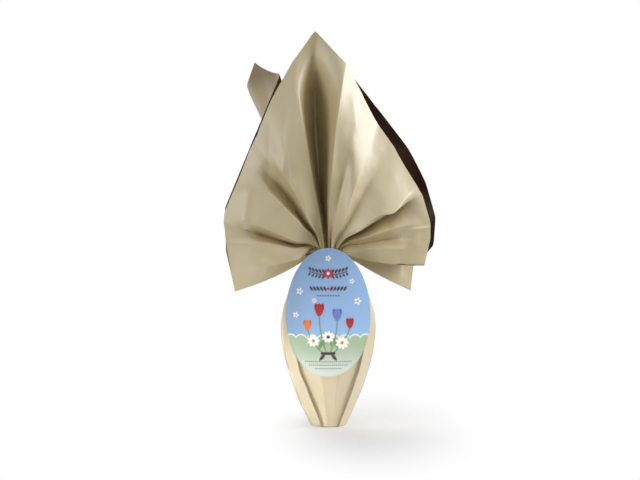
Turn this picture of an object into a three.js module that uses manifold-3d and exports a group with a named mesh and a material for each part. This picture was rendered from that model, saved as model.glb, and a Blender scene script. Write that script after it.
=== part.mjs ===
// A chocolate egg in two-tone gift paper. One square sheet is folded up round the egg, tied at the neck
// and flared out above it, and an oval card is stuck on the belly. Millimetres, +Z up, front towards -Y.
// The origin is the centre of the flat base.

import * as THREE from "three";
import { mergeVertices } from "three/addons/utils/BufferGeometryUtils.js";
import Module from "manifold-3d";

// Driving dimensions
const GATHER_HEIGHT = 180.5; // where every fold of the flare starts
const GATHER_RADIUS = 12.6;
const TIE_HEIGHT = 176.2;
const TIE_GROOVE_RADIUS = 11.4;
const TIE_GROOVE_HALF_HEIGHT = 2.6;
const BASE_FLAT_RADIUS = 17.5;
const BASE_RADIUS = 19;
const BASE_ROUNDING = 1.2;
const BELLY_RADIUS = 48.5;
const BELLY_HEIGHT = 102;
const SHOULDER_TOP = 172;
const PAPER = 1;
const PAPER_AT_GATHER = 0.6;
const HOLLOW_BOTTOM_RISE = 1.4; // how far above the gather's centre the hollow flare starts
const CLEARANCE = 0.3;

const CARD_HALF_WIDTH = 44;
const CARD_HALF_HEIGHT = 65;
const CARD_CENTRE_HEIGHT = 122.7;
const CARD_THICKNESS = 0.8;
const CARD_BEND_RADIUS = 105;
const CARD_LEAN_BACK = 12; // how far the top edge stands behind the belly's front
const CARD_TUCK_UNDER = 5; // and the bottom edge
const CARD_EGG_SHAPE = 0.045; // share by which the lower half is fuller than the upper

const TIE_CORD_RADIUS = 1.15;
const TIE_TURN_OFFSET = 1.05;
const KNOT_RADIUS = 3;
const TIE_END_LENGTH = 10;

// The folds of the flare, in order round the neck: anticlockwise over the front, from the right-hand
// corner up over the tip and down to the left-hand corner, then back behind. Each is a smooth line from
// the neck through its middle to the sheet's edge, as x, y and z from the centre of the gather.
const FOLDS = [
  { name: "right corner, bottom edge", middle: [50, 2, -23], end: [86, 2, -41] },
  { name: "right corner, tucked crease", middle: [53, 5, -6], end: [90, 6, -8] },
  { name: "right panel, lower edge", middle: [54, -22, -9.5], end: [99, -20, -13] },
  { name: "right ridge", middle: [56, -28, 23.5], end: [104.5, -23, 32] },
  { name: "right groove", middle: [52.5, -12, 35], end: [96, -25, 60] },
  { name: "right broad panel's edge", middle: [47, -41, 37.5], end: [91, -28, 69] },
  { name: "bright strip's foot", middle: [29, -32, 48.5], end: [66, -17, 111] },
  { name: "right narrow ridge", middle: [22.5, -40, 55.5], end: [49.5, -15, 135.5] },
  { name: "right narrow groove", middle: [15, -39, 77.5], end: [36, -20, 158.5] },
  { name: "centre groove, right lip", middle: [5, -44, 103], end: [18, -29, 194] },
  { name: "centre groove, to the tip", middle: [-12, 32, 112], end: [-13.5, -20, 226.3] },
  { name: "centre groove, left lip", middle: [-21, -38, 112], end: [-36, -20, 196] },
  { name: "left broad panel", middle: [-31, -38, 71], end: [-58, -27, 158] },
  { name: "left broad panel's edge", middle: [-36, -39, 50.5], end: [-75, -28, 117] },
  { name: "left groove", middle: [-40, -11, 48], end: [-82, -22, 102] },
  { name: "left grey panel", middle: [-43.5, -28, 43.5], end: [-92, -21, 78] },
  { name: "left grey panel's lower edge", middle: [-50, -33, 21.5], end: [-105.5, -17, 43] },
  { name: "left deep groove", middle: [-52, -9, 13.5], end: [-106.5, -16, 33] },
  { name: "left ridge", middle: [-52.5, -24, 9], end: [-105.5, -19, 17] },
  { name: "left corner, bottom edge", middle: [-48.5, -6, -22.5], end: [-96, -4, -41.5] },
  { name: "left lining, low", middle: [-56, 9, -2], end: [-106, 7, 0] },
  { name: "left lining, crease", middle: [-52, 16, 20], end: [-107, 7, 44] },
  { name: "left lining, high", middle: [-38, 10, 60], end: [-77.5, 11, 116] },
  { name: "left lining, tucked crease", middle: [-24, 15, 88], end: [-49, 9, 183.5] },
  { name: "left curl, tip", middle: [-38, 24, 98], end: [-76.5, 15, 195] },
  { name: "left curl, turn", middle: [-44, 35, 86], end: [-85.5, 36, 171] },
  { name: "back, left fall", middle: [-28, 44, 66], end: [-62, 60, 120] },
  { name: "back, left groove", middle: [-18, 30, 60], end: [-40, 48, 110] },
  { name: "back, left of the tip", middle: [-14, 56, 62], end: [-32, 88, 122] },
  { name: "back tip", middle: [-5, 62, 80], end: [-6, 122, 132] },
  { name: "back, right of the tip", middle: [13, 56, 62], end: [28, 92, 114] },
  { name: "back, inner groove", middle: [-1, 26, 66], end: [2, 38, 124] },
  { name: "back corner", middle: [14, 44, 98], end: [14, 46, 196] },
  { name: "back, upper ridge", middle: [32, 48, 70], end: [50, 50, 151] },
  { name: "back, right groove", middle: [40, 26, 52], end: [84, 32, 107] },
  { name: "back, right ridge", middle: [52, 40, 34], end: [104, 40, 70] },
  { name: "back, side groove", middle: [54, 20, 16], end: [113, 27, 34] },
  { name: "back, side ridge", middle: [56, 30, 2], end: [111.5, 29, 4] },
  { name: "back, lower edge", middle: [52, 14, -10], end: [103, 24, -4] },
  { name: "right corner, lining", middle: [51, 8, -20], end: [87, 9, -18] },
];
const FIRST_FOLD_AZIMUTH = 90; // degrees from the front towards the right, where the first fold leaves the neck
const GATHER_LIFT = 5; // how far the paper rises above the tie before it spreads
const GATHER_LIFT_SHARE = 0.34;
const ONE_AT_ITS_PEAK = 6.75; // makes the curve x(1 - x)(1 - x) reach 1
const GATHER_FLUTE = 0.5;
const FLARE_STEPS = [0.05, 0.11, 0.19, 0.28, 0.38, 0.49, 0.61, 0.73, 0.87, 1];
const COLUMNS_PER_FOLD = 2;
const LEAST_MITRE = 0.5;

// The pleats round the egg, in the same order. Azimuths in degrees at the base and at PLEAT_HEIGHT; at
// the neck they are evenly spaced. right and left are the heights of the panel that starts there, at
// its two ends: where one panel ends higher than the next starts, it laps over it.
const PLEAT_HEIGHT = 60;
const PLEATS = [
  { base: 82, belly: 88, right: 0.2, left: 2.2 },
  { base: 33, belly: 45, right: -0.9, left: 0.1 },
  { base: 12, belly: 15, right: 0.5, left: 0.3 },
  { base: -4, belly: -10, right: 0, left: -0.9 },
  { base: -19, belly: -41, right: 2.2, left: 0.5 },
  { base: -58, belly: -70, right: 1.4, left: 0.2 },
  { base: -102, belly: -106, right: 1.9, left: 0 },
  { base: -140, belly: -146, right: 1.6, left: 0.2 },
  { base: -186, belly: -182, right: 2, left: 0 },
  { base: -232, belly: -225, right: 1.5, left: 1 },
];
const PLEAT_LAP = 0.9; // degrees over which one panel steps down to the next
const PANEL_FLATTENING = 0.7;
const LOWER_ROWS = 9;
const UPPER_ROWS = 8;

const COLUMNS = FOLDS.length * COLUMNS_PER_FOLD;
const COLUMNS_PER_PLEAT = COLUMNS / PLEATS.length;

const radians = THREE.MathUtils.degToRad;
const mix = THREE.MathUtils.lerp;

function around(azimuth, radius, height) {
  const a = radians(azimuth);
  return new THREE.Vector3(radius * Math.sin(a), -radius * Math.cos(a), height);
}

function columnAzimuth(column) {
  return FIRST_FOLD_AZIMUTH - (360 * column) / COLUMNS;
}

// Flare

function foldPoint(index, t) {
  const { middle, end } = FOLDS[index % FOLDS.length];
  const start = around(columnAzimuth(index * COLUMNS_PER_FOLD), GATHER_RADIUS, 0);
  const tip = new THREE.Vector3(...end);
  const pull = new THREE.Vector3(...middle).multiplyScalar(2);
  pull.addScaledVector(start, -0.5).addScaledVector(tip, -0.5);
  const point = new THREE.QuadraticBezierCurve3(start, pull, tip).getPoint(t);
  const rise = Math.min(t / GATHER_LIFT_SHARE, 1);
  point.z += GATHER_LIFT * ONE_AT_ITS_PEAK * rise * (1 - rise) ** 2;
  return point;
}

function flarePoint(column, t) {
  const fold = Math.floor(column / COLUMNS_PER_FOLD);
  const share = column / COLUMNS_PER_FOLD - fold;
  return foldPoint(fold, t).lerp(foldPoint(fold + 1, t), share);
}

// The way out of the paper at a point, longer at a fold, so that the two faces stay parallel.
function outwardAt(column, t) {
  const step = 0.01;
  const here = flarePoint(column, t);
  const along = flarePoint(column, Math.min(t + step, 1)).sub(flarePoint(column, t - step));
  const fromLast = here.clone().sub(flarePoint((column + COLUMNS - 1) % COLUMNS, t));
  const toNext = flarePoint((column + 1) % COLUMNS, t).sub(here);
  const one = along.clone().cross(fromLast).normalize();
  const other = along.clone().cross(toNext).normalize();
  const outward = one.clone().add(other).normalize();
  return outward.divideScalar(Math.max(outward.dot(one), LEAST_MITRE));
}

function liningPoint(column, t) {
  const thickness = mix(PAPER_AT_GATHER, PAPER, Math.min(t / GATHER_LIFT_SHARE, 1));
  return flarePoint(column, t).addScaledVector(outwardAt(column, t), -thickness);
}

// Wrapped egg

function eggOutline() {
  const lower = new THREE.CubicBezierCurve(
    new THREE.Vector2(BASE_RADIUS, BASE_ROUNDING),
    new THREE.Vector2(BASE_RADIUS + BELLY_HEIGHT * 0.14, BELLY_HEIGHT * 0.33),
    new THREE.Vector2(BELLY_RADIUS, BELLY_HEIGHT * 0.67),
    new THREE.Vector2(BELLY_RADIUS, BELLY_HEIGHT),
  );
  const upper = new THREE.CubicBezierCurve(
    new THREE.Vector2(BELLY_RADIUS, BELLY_HEIGHT),
    new THREE.Vector2(BELLY_RADIUS, BELLY_HEIGHT + 26),
    new THREE.Vector2(BELLY_RADIUS * 0.72, SHOULDER_TOP - 15),
    new THREE.Vector2(GATHER_RADIUS, SHOULDER_TOP),
  );
  return [...lower.getPoints(LOWER_ROWS), ...upper.getPoints(UPPER_ROWS).slice(1)];
}

function pleatAzimuth(index, height) {
  const turns = Math.floor(index / PLEATS.length);
  const { base, belly } = PLEATS[index % PLEATS.length];
  const neck = columnAzimuth((index % PLEATS.length) * COLUMNS_PER_PLEAT);
  const share = height / PLEAT_HEIGHT;
  const rise = (height - PLEAT_HEIGHT) / (GATHER_HEIGHT - PLEAT_HEIGHT);
  return (share < 1 ? mix(base, belly, share) : mix(belly, neck, rise)) - 360 * turns;
}

function wrappedPoint(column, radius, height) {
  const pleat = Math.floor(column / COLUMNS_PER_PLEAT);
  const place = column % COLUMNS_PER_PLEAT;
  const gathered = THREE.MathUtils.smoothstep(height, BELLY_HEIGHT, SHOULDER_TOP);
  const share = mix(place / (COLUMNS_PER_PLEAT - 1), place / COLUMNS_PER_PLEAT, gathered);
  const lap = (PLEAT_LAP / 2) * (1 - gathered);
  const azimuth = mix(pleatAzimuth(pleat, height) - lap, pleatAzimuth(pleat + 1, height) + lap, share);
  const { right, left } = PLEATS[pleat];
  const strength = THREE.MathUtils.smoothstep(height, -BELLY_HEIGHT / 4, BELLY_HEIGHT / 4) * (1 - gathered);
  const relief = mix(right, left, share) - PANEL_FLATTENING * 4 * share * (1 - share);
  const flute = GATHER_FLUTE * gathered * (column % 2 ? -1 : 1);
  return around(azimuth, radius + relief * strength + flute, height);
}

// Rings of points from the base's centre up the outside, over the sheet's edge and down the lining.
function wrapperRings() {
  const ring = (point) => Array.from({ length: COLUMNS }, (_, column) => point(column));
  const rings = [ring((c) => around(columnAzimuth(c), BASE_FLAT_RADIUS, 0))];
  for (const { x: radius, y: height } of eggOutline())
    rings.push(ring((c) => wrappedPoint(c, radius, height)));
  for (const step of [-TIE_GROOVE_HALF_HEIGHT, TIE_GROOVE_HALF_HEIGHT])
    rings.push(ring((c) => wrappedPoint(c, TIE_GROOVE_RADIUS, TIE_HEIGHT + step)));
  const lifted = (point) => point.setZ(point.z + GATHER_HEIGHT);
  for (const t of [0, ...FLARE_STEPS]) rings.push(ring((c) => lifted(flarePoint(c, t))));
  for (const t of FLARE_STEPS.toReversed()) rings.push(ring((c) => lifted(liningPoint(c, t))));
  return rings;
}

// A closed surface through rings of points. From the ring numbered turned on, it runs back over the
// rings before it, and its squares are split along the same diagonals as theirs.
function closedSkin(rings, turned, firstPole, lastPole) {
  const width = rings[0].length;
  const points = [firstPole, ...rings.flat(), lastPole];
  const last = points.length - 1;
  const at = (row, column) => 1 + row * width + (column % width);
  const faces = [];
  for (let c = 0; c < width; c++) faces.push(0, at(0, c), at(0, c + 1));
  for (let row = 0; row + 1 < rings.length; row++)
    for (let c = 0; c < width; c++) {
      const [near, nearNext, far, farNext] = [at(row, c), at(row, c + 1), at(row + 1, c), at(row + 1, c + 1)];
      if (row < turned) faces.push(near, far, farNext, near, farNext, nearNext);
      else faces.push(near, far, nearNext, far, farNext, nearNext);
    }
  const top = rings.length - 1;
  for (let c = 0; c < width; c++) faces.push(at(top, c), last, at(top, c + 1));
  const geometry = new THREE.BufferGeometry().setFromPoints(points);
  geometry.setIndex(faces);
  geometry.computeVertexNormals();
  return geometry;
}

function wrapperGeometry() {
  const rings = wrapperRings();
  const hollowBottom = new THREE.Vector3(0, 0, GATHER_HEIGHT + HOLLOW_BOTTOM_RISE);
  return closedSkin(rings, rings.length - FLARE_STEPS.length, new THREE.Vector3(0, 0, 0), hollowBottom);
}

// Card

const CARD_RINGS = 5;
const CARD_SEGMENTS = 48;
const CARD_FRONT = -(BELLY_RADIUS + 0.5 + CLEARANCE);

function cardPoint(share, turn, layer) {
  const angle = (2 * Math.PI * turn) / CARD_SEGMENTS;
  const up = share * CARD_HALF_HEIGHT * Math.cos(angle);
  const fullness = 1 - CARD_EGG_SHAPE * Math.cos(angle);
  const across = share * CARD_HALF_WIDTH * fullness * Math.sin(angle);
  const bend = across / CARD_BEND_RADIUS;
  const lean = up > 0 ? CARD_LEAN_BACK : CARD_TUCK_UNDER;
  const back = CARD_BEND_RADIUS * (1 - Math.cos(bend)) + lean * (up / CARD_HALF_HEIGHT) ** 2;
  return new THREE.Vector3(
    CARD_BEND_RADIUS * Math.sin(bend),
    CARD_FRONT + back - layer * CARD_THICKNESS,
    CARD_CENTRE_HEIGHT + up,
  );
}

function cardGeometry() {
  const ring = (share, layer) =>
    Array.from({ length: CARD_SEGMENTS }, (_, turn) => cardPoint(share, turn, layer));
  const shares = Array.from({ length: CARD_RINGS }, (_, i) => (i + 1) / CARD_RINGS);
  const rings = [
    ...shares.map((share) => ring(share, 0)),
    ...shares.toReversed().map((share) => ring(share, 1)),
  ];
  return closedSkin(rings, CARD_RINGS, cardPoint(0, 0, 0), cardPoint(0, 0, 1));
}

// Tie

const TIE_SIDES = 14;
const TIE_SEGMENTS = 48;
const TIE_RADIUS = TIE_GROOVE_RADIUS + GATHER_FLUTE + CLEARANCE + TIE_CORD_RADIUS;

// The outline of two turns of cord lying one on the other, as one closed profile.
function twoTurnProfile() {
  const points = [];
  for (let i = 0; i <= TIE_SIDES; i++) {
    const angle = (2 * Math.PI * i) / TIE_SIDES;
    const reach =
      TIE_TURN_OFFSET * Math.abs(Math.sin(angle)) +
      Math.sqrt(TIE_CORD_RADIUS ** 2 - (TIE_TURN_OFFSET * Math.cos(angle)) ** 2);
    points.push(new THREE.Vector2(TIE_RADIUS + reach * Math.cos(angle), reach * Math.sin(angle)));
  }
  return points;
}

function solidFrom(geometry, wasm) {
  const bare = geometry.clone().deleteAttribute("normal").deleteAttribute("uv");
  const merged = mergeVertices(bare, 1e-4);
  return new wasm.Manifold(
    new wasm.Mesh({
      numProp: 3,
      vertProperties: merged.attributes.position.array,
      triVerts: new Uint32Array(merged.index.array),
    }),
  );
}

function geometryFrom(solid) {
  const mesh = solid.getMesh();
  const geometry = new THREE.BufferGeometry();
  geometry.setAttribute("position", new THREE.BufferAttribute(mesh.vertProperties, 3));
  geometry.setIndex(new THREE.BufferAttribute(mesh.triVerts, 1));
  geometry.computeVertexNormals();
  return geometry;
}

async function tieGeometry() {
  const wasm = await Module();
  wasm.setup();
  const turns = new THREE.LatheGeometry(twoTurnProfile(), TIE_SEGMENTS).rotateX(Math.PI / 2);
  const knotPlace = around(180, TIE_RADIUS + KNOT_RADIUS * 0.6, 0);
  const knot = new THREE.SphereGeometry(KNOT_RADIUS, 14, 10);
  knot.scale(1.15, 0.85, 1).translate(knotPlace.x, knotPlace.y, knotPlace.z);
  let tie = solidFrom(turns, wasm).add(solidFrom(knot, wasm));
  for (const side of [-1, 1]) {
    const end = new THREE.CylinderGeometry(TIE_CORD_RADIUS, TIE_CORD_RADIUS, TIE_END_LENGTH, 10);
    end.translate(0, -TIE_END_LENGTH / 2, 0).rotateX(Math.PI / 2 + radians(28)).rotateY(side * radians(-32));
    end.translate(knotPlace.x, knotPlace.y, knotPlace.z);
    tie = tie.add(solidFrom(end, wasm));
  }
  return geometryFrom(tie);
}

// Object

const champagnePaper = new THREE.MeshStandardMaterial({ color: 0xc9bc98, roughness: 0.45, metalness: 0.35 });
const printedCard = new THREE.MeshStandardMaterial({ color: 0x9fc0e4, roughness: 0.5, metalness: 0 });
const brownElastic = new THREE.MeshStandardMaterial({ color: 0x3b241a, roughness: 0.6, metalness: 0 });

function named(name, geometry, material, height = 0) {
  const mesh = new THREE.Mesh(geometry, material);
  mesh.name = name;
  mesh.position.z = height;
  return mesh;
}

const chocolateEgg = new THREE.Group();
chocolateEgg.add(named("wrapped_egg", wrapperGeometry(), champagnePaper));
chocolateEgg.add(named("card", cardGeometry(), printedCard));
chocolateEgg.add(named("tie", await tieGeometry(), brownElastic, TIE_HEIGHT));

export default chocolateEgg;
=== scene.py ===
import math

import bpy
import numpy as np
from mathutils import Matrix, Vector, noise


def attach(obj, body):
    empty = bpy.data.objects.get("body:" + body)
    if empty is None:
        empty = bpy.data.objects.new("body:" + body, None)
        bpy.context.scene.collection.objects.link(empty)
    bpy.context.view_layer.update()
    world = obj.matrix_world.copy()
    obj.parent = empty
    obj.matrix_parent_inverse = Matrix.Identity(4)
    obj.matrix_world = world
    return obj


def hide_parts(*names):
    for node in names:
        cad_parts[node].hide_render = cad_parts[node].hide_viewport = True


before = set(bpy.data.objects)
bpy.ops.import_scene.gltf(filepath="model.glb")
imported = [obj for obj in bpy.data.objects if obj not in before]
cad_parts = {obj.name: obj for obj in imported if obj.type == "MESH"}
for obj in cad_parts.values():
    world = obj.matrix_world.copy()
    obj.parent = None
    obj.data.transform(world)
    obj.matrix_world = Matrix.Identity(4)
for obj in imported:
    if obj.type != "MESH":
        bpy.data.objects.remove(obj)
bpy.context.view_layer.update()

# Sizes, in millimetres unless a name says otherwise
MM = 0.001
GATHER_HEIGHT = 180.5
GATHER_RADIUS = 12.6
TIE_HEIGHT = 176.2
TIE_GROOVE_RADIUS = 11.4
BASE_RADIUS = 19
BASE_ROUNDING = 1.2
BELLY_RADIUS = 48.5
BELLY_HEIGHT = 102
SHOULDER_TOP = 172
PAPER_THICKNESS = 0.3
# Points of a sheet that are closer than this are one.
MERGE_DISTANCE = 0.02

CARD_HALF_WIDTH = 44
CARD_HALF_HEIGHT = 65
CARD_CENTRE_HEIGHT = 122.7
CARD_THICKNESS = 0.8
CARD_BEND_RADIUS = 105
CARD_LEAN_BACK = 12
CARD_TUCK_UNDER = 5
CARD_EGG_SHAPE = 0.045
CARD_FRONT = -49.3

TIE_CORD_RADIUS = 1.15
TIE_TURN_OFFSET = 1.05
TIE_CLEARANCE = 0.8
TIE_RADIUS = TIE_GROOVE_RADIUS + TIE_CLEARANCE + TIE_CORD_RADIUS
TIE_END_LENGTH = 10
TIE_END_TILT = 28
TIE_END_SPLAY = 32
KNOT_RADIUS = 3
KNOT_STRETCH = (1.1, 0.82, 0.95)
KNOT_BEHIND_TURNS = 1.8

# The folds of the flare in order round the neck: name, middle, end and softness. Middle and end are x, y
# and z from the centre of the gather. Softness is how far a crease rounds, as a share of a panel.
FOLDS = (
    ("right corner, bottom edge", (50, 0, -23), (86, 5, -41), 0.04),
    ("right corner, tucked crease", (53, 3, -6), (90, 11, -8), 0.1),
    ("right panel, lower edge", (54, -22, -9.5), (99, -20, -13), 0.05),
    ("right panel, top", (56, -25, 6.5), (102.5, -21, 3), 0.25),
    ("right panel, thin groove", (53, -14, 13), (104.5, -21, 17), 0.04),
    ("right ridge", (56, -28, 23.5), (104.5, -23, 32), 0.08),
    ("right groove", (52.5, -12, 35), (96, -25, 60), 0.05),
    ("right broad panel's edge", (47, -41, 37.5), (91, -28, 69), 0.02),
    ("bright strip's foot", (29, -32, 48.5), (66, -21, 111), 0.3),
    ("right narrow ridge", (22.5, -43, 55.5), (49.5, -17.5, 135.5), 0.2),
    ("right narrow groove", (15.5, -37.5, 77.5), (36, -21, 158.5), 0.05),
    ("centre groove, right lip", (5, -46, 103), (18, -29, 194), 0.03),
    ("centre groove, to the tip", (-12, 32, 112), (-13.5, -20, 226.3), 0.15),
    ("centre groove, left lip", (-21, -38, 112), (-36, -20, 196), 0.2),
    ("left broad panel", (-31, -38, 71), (-58, -27, 158), 0.4),
    ("left broad panel's edge", (-31, -34, 57), (-73, -28, 121), 0.3),
    ("left groove", (-38.5, -11, 50.5), (-80, -22, 106), 0.05),
    ("left grey panel", (-40.5, -33, 46), (-89, -21, 84), 0.03),
    ("left grey panel's lower edge", (-50, -33, 21.5), (-105.5, -17, 43), 0.03),
    ("left deep groove", (-52, -9, 13.5), (-106.5, -16, 33), 0.05),
    ("left ridge", (-52.5, -24, 9), (-105.5, -19, 17), 0.08),
    ("left flap, middle", (-50, -25, -10), (-102, -15, -11), 0.4),
    ("left corner, bottom edge", (-48.5, -6, -22.5), (-96, -4, -41.5), 0.04),
    ("left lining, low", (-56, 9, -2), (-106, 7, 0), 0.3),
    ("left lining, crease", (-52, 16, 20), (-107, 7, 44), 0.2),
    ("left lining, high", (-38, 10, 60), (-77.5, 11, 116), 0.3),
    ("left lining, tucked crease", (-24, 15, 88), (-49, 9, 183.5), 0.1),
    ("left curl, tip", (-38, 24, 98), (-76.5, 15, 195), 0.2),
    ("left curl, turn", (-44, 35, 86), (-85.5, 36, 171), 0.3),
    ("back, left fall", (-28, 44, 66), (-62, 60, 120), 0.3),
    ("back, left groove", (-18, 30, 60), (-40, 48, 110), 0.2),
    ("back, left of the tip", (-14, 56, 62), (-32, 88, 122), 0.3),
    ("back tip", (-5, 62, 80), (-6, 122, 132), 0.2),
    ("back, right of the tip", (13, 56, 62), (28, 92, 114), 0.3),
    ("back, inner groove", (-1, 26, 66), (2, 38, 124), 0.2),
    ("back corner", (14, 44, 98), (14, 46, 196), 0.2),
    ("back, upper ridge", (32, 48, 70), (50, 50, 151), 0.3),
    ("back, right groove", (40, 26, 52), (84, 32, 107), 0.25),
    ("back, right ridge", (52, 40, 34), (104, 40, 70), 0.3),
    ("back, side groove", (54, 20, 16), (113, 27, 34), 0.25),
    ("back, side ridge", (56, 30, 2), (111.5, 29, 4), 0.3),
    ("back, lower edge", (52, 14, -10), (103, 24, -4), 0.2),
    ("right corner, lining", (51, 8, -20), (87, 14, -18), 0.1),
)
FOLD_NAMES = [fold[0] for fold in FOLDS]
# How much further in a groove starts in the gather.
TUCKED_FOLDS = {
    "centre groove, to the tip": 10,
    "right narrow groove": 4,
    "right groove": 3,
    "right panel, thin groove": 2,
    "left groove": 3,
    "left deep groove": 3,
}
# The share of its length at which a fold has died away into the panel that it lies on.
FADING_FOLDS = {
    "right panel, thin groove": 0.9,
    "right groove": 1.0,
    "right broad panel's edge": 1.0,
    "right narrow groove": 0.75,
    "left broad panel's edge": 0.92,
    "left groove": 0.92,
    "left grey panel's lower edge": 0.92,
    "left deep groove": 0.92,
}
FADE_LENGTH = 0.3
# Where a fold swerves off its line: the share of its length, how wide, and how far in x, y and z.
SWERVES = {
    "right broad panel's edge": (0.74, 0.13, (0, 0, -9)),
    "centre groove, to the tip": (0.86, 0.13, (0, -16, 0)),
}
# How far the rim hangs in between a fold and the next, and how quickly that dies away below the rim.
RIM_DIPS = {
    "left lining, tucked crease": 2.5,
}
RIM_DIP_POWER = 5
FIRST_FOLD_AZIMUTH = 94
# Folds rise as they leave the gather, over a share of their length. Those that hang rise less: a fold that
# ends below the first of these heights doesn't rise at all, and one above the second rises in full.
GATHER_LIFT = 5
GATHER_LIFT_SHARE = 0.34
LIFTED_FOLD_ENDS = (-20, 40)
# What x * (1 - x) ** 2 is multiplied by, so that it is 1 at its peak.
ONE_AT_ITS_PEAK = 6.75
CREASE_HALF_WIDTH_AT_GATHER = 0.04
# The shares of a fold's length between which its crease rounds to its own softness.
CREASE_OPENING = (0.5, 1)

# The pleats round the egg in the same order: azimuth at the base and at PLEAT_HEIGHT, and the height of
# the panel that starts there at its right and left ends.
PLEAT_HEIGHT = 60
PLEATS = (
    (82, 88, 0.2, 2.2),
    (33, 45, -0.9, 0.1),
    (12, 15, 0.5, 0.3),
    (-4, -10, 0, -0.9),
    (-19, -41, 2.2, 0.5),
    (-58, -70, 1.4, 0.2),
    (-102, -106, 1.9, 0),
    (-140, -146, 1.6, 0.2),
    (-186, -182, 2, 0),
    (-232, -225, 1.5, 1),
)
# How far a panel's edge tucks in under a higher neighbour, how much higher that has to be, and how much
# flatter than the round egg a panel is in its middle.
PLEAT_TUCK = 3.2
LEAST_LAP = 1
PANEL_FLATTENING = 0.7


# General helpers


def smoothstep(x, low, high):
    share = np.clip((np.asarray(x, float) - low) / (high - low), 0, 1)
    return share * share * (3 - 2 * share)


def mix(a, b, share):
    return a + (b - a) * share


def linear(hex_colour):
    """An sRGB hex value as linear red, green, blue and alpha."""
    parts = [int(hex_colour[i:i + 2], 16) / 255 for i in (1, 3, 5)]
    return tuple(c / 12.92 if c <= 0.04045 else ((c + 0.055) / 1.055) ** 2.4 for c in parts) + (1.0,)


def node(tree, kind, settings=None, links=None, **attributes):
    """Adds a node, sets its attributes and sockets, and links sockets to other nodes' outputs."""
    made = tree.nodes.new(kind)
    for name, value in attributes.items():
        setattr(made, name, value)
    for name, value in (settings or {}).items():
        made.inputs[name].default_value = value
    for name, output in (links or {}).items():
        tree.links.new(output, made.inputs[name])
    return made


def new_material(name):
    material = bpy.data.materials.new(name)
    material.use_nodes = True
    tree = material.node_tree
    tree.nodes.clear()
    return material, tree


def active():
    return bpy.context.view_layer.objects.active


def deselect_all():
    bpy.ops.object.select_all(action="DESELECT")


def only(piece):
    deselect_all()
    piece.select_set(True)
    bpy.context.view_layer.objects.active = piece


def name_piece(piece, name):
    piece.name = name
    piece.data.name = name


def add_materials(piece, materials):
    for material in materials:
        piece.data.materials.append(material)


def apply_modifier(piece, kind, **settings):
    only(piece)
    modifier = piece.modifiers.new(kind.title(), kind)
    for key, value in settings.items():
        setattr(modifier, key, value)
    bpy.ops.object.modifier_apply(modifier=modifier.name)


def lay_grid(name, points, seam=True, flip=False):
    """A grid of squares whose corners are laid at points[row, column], in millimetres.

    The seam joins the sheet where its points meet, and flip turns its faces the other way.
    """
    rows, columns = points.shape[0] - 1, points.shape[1] - 1
    deselect_all()
    bpy.ops.mesh.primitive_grid_add(x_subdivisions=columns, y_subdivisions=rows, size=1)
    sheet = active()
    name_piece(sheet, name)
    sheet.data.vertices.foreach_set("co", (points.reshape(-1, 3) * MM).ravel())
    sheet.data.update()
    bpy.ops.object.mode_set(mode="EDIT")
    bpy.ops.mesh.select_all(action="SELECT")
    if seam:
        bpy.ops.mesh.remove_doubles(threshold=MERGE_DISTANCE * MM)
    if flip:
        bpy.ops.mesh.flip_normals()
    bpy.ops.object.mode_set(mode="OBJECT")
    bpy.ops.object.shade_smooth()
    return sheet


def around(azimuth, radius, height):
    """Points round the upright axis. Azimuth 0 is the front and 90 the right, in degrees."""
    a = np.radians(azimuth)
    x, y = radius * np.sin(a), -radius * np.cos(a)
    return np.stack(np.broadcast_arrays(x, y, height), axis=-1)


def gentle_noise(points, size, seed):
    """Smooth noise at each point, from about -1 to 1, with waves of the given size. The seed moves them."""
    shift = Vector((seed * 13.7, seed * 5.3, seed * 9.1))
    flat = points.reshape(-1, 3) / size
    values = [noise.noise(Vector(p) + shift) for p in flat]
    return np.array(values).reshape(points.shape[:-1])


def facet_noise(across, along, columns, rows, seed):
    """Flat triangular facets between random heights from -1 to 1 on a grid that closes on itself across."""
    heights = np.random.default_rng(seed).uniform(-1, 1, (rows + 2, columns))
    u, v = np.broadcast_arrays(across * columns, along * rows)
    column, row = np.floor(u).astype(int), np.floor(v).astype(int)
    u, v = u - column, v - row
    turned = (column + row) % 2 == 1
    u = np.where(turned, 1 - u, u)
    near = np.where(turned, column + 1, column) % columns
    far = np.where(turned, column, column + 1) % columns
    a, b = heights[row, near], heights[row, far]
    c, d = heights[row + 1, near], heights[row + 1, far]
    low = a + (b - a) * u + (c - a) * v
    high = d + (c - d) * (1 - u) + (b - d) * (1 - v)
    return np.where(u + v < 1, low, high)


def normals_of(points):
    """Unit normals of a sheet whose last column lies on its first."""
    along = np.gradient(points, axis=0)
    across = np.gradient(points, axis=1)
    across[:, 0] = across[:, -1] = (points[:, 1] - points[:, -2]) / 2
    normal = np.cross(along, across)
    return normal / np.maximum(np.linalg.norm(normal, axis=-1, keepdims=True), 1e-9)


# Flare

# Where each panel is cut into columns, close together next to its two creases.
COLUMN_SHARES = np.array((0, 0.03, 0.07, 0.13, 0.21, 0.31, 0.42, 0.54, 0.66, 0.77, 0.86, 0.93, 0.97))
FLARE_ROWS = 80
# Above 1, rows are closer together near the gather.
FLARE_ROW_SPACING = 1.2
FLARE_FOOT_INSET = 0.2
FLUTES_PER_FOLD = 2
FLUTE_DEPTH = 0.7
FLUTE_FADE = 0.1
# Parts of the flare's front, as the first and last fold by number.
RIGHT_HALF = (1, 11)
TIP_RIGHT = (11, 13)
TIP_LEFT = (12, 14)
LEFT_HALF = (13, 22)
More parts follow.
